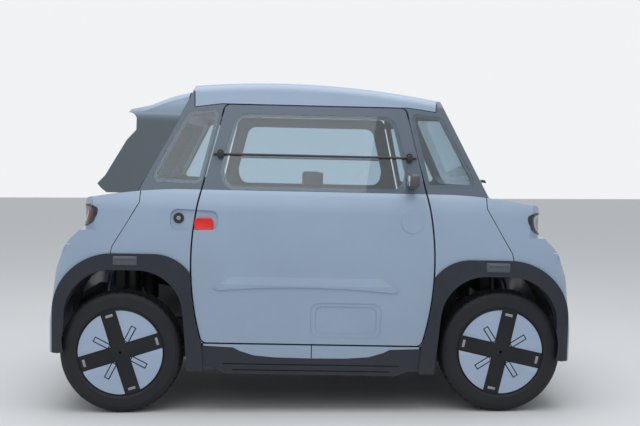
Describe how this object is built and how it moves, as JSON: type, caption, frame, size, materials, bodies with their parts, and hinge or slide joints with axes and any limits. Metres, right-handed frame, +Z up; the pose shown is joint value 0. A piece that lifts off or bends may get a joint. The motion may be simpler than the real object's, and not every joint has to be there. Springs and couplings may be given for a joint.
{
  "type": "microcar",
  "caption": "Electric two-seat microcar with moulded panels over a tube frame, opposed hinged doors, steered front wheels and free-rolling tyres.",
  "frame": {"origin": "on the ground under the middle of the car", "axes": "+X towards the nose, +Y towards the car's left side, +Z up"},
  "size_m": [2.4121, 1.496, 1.5233],
  "materials": {
    "body_colour": "moulded panels, satin blue-grey",
    "dark_trim": "grained dark grey plastic",
    "black_frame": "gloss black surround",
    "clear_glass": "clear glass",
    "lamp": "lamp units",
    "frame_steel": "black coated steel",
    "inner_plastic": "grained black plastic",
    "seat_fabric": "woven dark grey cover",
    "battery_case": "black case",
    "motor_case": "cast housing",
    "knuckle_iron": "cast iron",
    "tyre_rubber": "black rubber",
    "wheel_paint": "black wheel with body-colour cover"
  },
  "bodies": {
    "body_shell": {"arch_trims": "dark_trim", "battery_box": "battery_case", "cab_frame": "black_frame", "chassis_frame": "frame_steel", "dashboard": "inner_plastic", "door_hinges": "frame_steel", "door_strikers": "frame_steel", "drive_motor": "motor_case", "floor_pan": "inner_plastic", "front_suspension": "frame_steel", "headlamps": "lamp", "nose_panel": "body_colour", "quarter_windows": "clear_glass", "rear_screen": "clear_glass", "rear_shelf": "inner_plastic", "rear_suspension": "frame_steel", "roof_panel": "body_colour", "seat_pads_left": "seat_fabric", "seat_pads_right": "seat_fabric", "seat_shells": "inner_plastic", "sill_strips": "body_colour", "sills": "dark_trim", "steering_column": "frame_steel", "steering_rack": "frame_steel", "tail_frame": "dark_trim", "tail_lamps": "lamp", "tail_panel": "body_colour", "wheel_liners": "inner_plastic", "windscreen": "clear_glass", "wings": "body_colour"},
    "door_right": {"door_panel_right": "body_colour", "door_window_right": "clear_glass", "window_bar_right": "black_frame", "door_mirror_right": "black_frame"},
    "door_left": {"door_panel_left": "body_colour", "door_window_left": "clear_glass", "window_bar_left": "black_frame", "door_mirror_left": "black_frame"},
    "knuckle_right": {"knuckle_right": "knuckle_iron"},
    "knuckle_left": {"knuckle_left": "knuckle_iron"},
    "front_right_wheel": {"wheel_front_right": "wheel_paint", "tyre_front_right": "tyre_rubber"},
    "front_left_wheel": {"wheel_front_left": "wheel_paint", "tyre_front_left": "tyre_rubber"},
    "rear_right_wheel": {"wheel_rear_right": "wheel_paint", "tyre_rear_right": "tyre_rubber"},
    "rear_left_wheel": {"wheel_rear_left": "wheel_paint", "tyre_rear_left": "tyre_rubber"},
    "steering_wheel": {"steering_wheel": "inner_plastic"}
  },
  "joints": [
    {"name": "door_right_hinge", "type": "hinge", "parent": "body_shell", "child": "door_right", "pos_m": [0.47924, -0.67, 0.61126], "axis": [0.0183, 0, 0.9998], "range_deg": [0, 70]},
    {"name": "door_left_hinge", "type": "hinge", "parent": "body_shell", "child": "door_left", "pos_m": [-0.46861, 0.67, 0.62864], "axis": [0.0183, 0, 0.9998], "range_deg": [0, 70]},
    {"name": "steer_right", "type": "hinge", "parent": "body_shell", "child": "knuckle_right", "pos_m": [0.864, -0.52, 0.278], "axis": [0, 0.2079, 0.9781], "range_deg": [-32, 32]},
    {"name": "steer_left", "type": "hinge", "parent": "body_shell", "child": "knuckle_left", "pos_m": [0.864, 0.52, 0.278], "axis": [0, -0.2079, 0.9781], "range_deg": [-32, 32]},
    {"name": "steering_wheel_turn", "type": "hinge", "parent": "body_shell", "child": "steering_wheel", "pos_m": [0.30911, 0.27, 0.82442], "axis": [-0.8742, 0, 0.4856], "range_deg": [-450, 450]},
    {"name": "front_right_spin", "type": "hinge", "parent": "knuckle_right", "child": "front_right_wheel", "pos_m": [0.864, -0.582, 0.278], "axis": [0, 1, 0], "continuous": true},
    {"name": "front_left_spin", "type": "hinge", "parent": "knuckle_left", "child": "front_left_wheel", "pos_m": [0.864, 0.582, 0.278], "axis": [0, 1, 0], "continuous": true},
    {"name": "rear_right_spin", "type": "hinge", "parent": "body_shell", "child": "rear_right_wheel", "pos_m": [-0.864, -0.582, 0.278], "axis": [0, 1, 0], "continuous": true},
    {"name": "rear_left_spin", "type": "hinge", "parent": "body_shell", "child": "rear_left_wheel", "pos_m": [-0.864, 0.582, 0.278], "axis": [0, 1, 0], "continuous": true}
  ],
  "couplings": [
    {"joint": "steer_left", "follows": "steer_right", "ratio": 1},
    {"joint": "steering_wheel_turn", "follows": "steer_right", "ratio": 14}
  ]
}
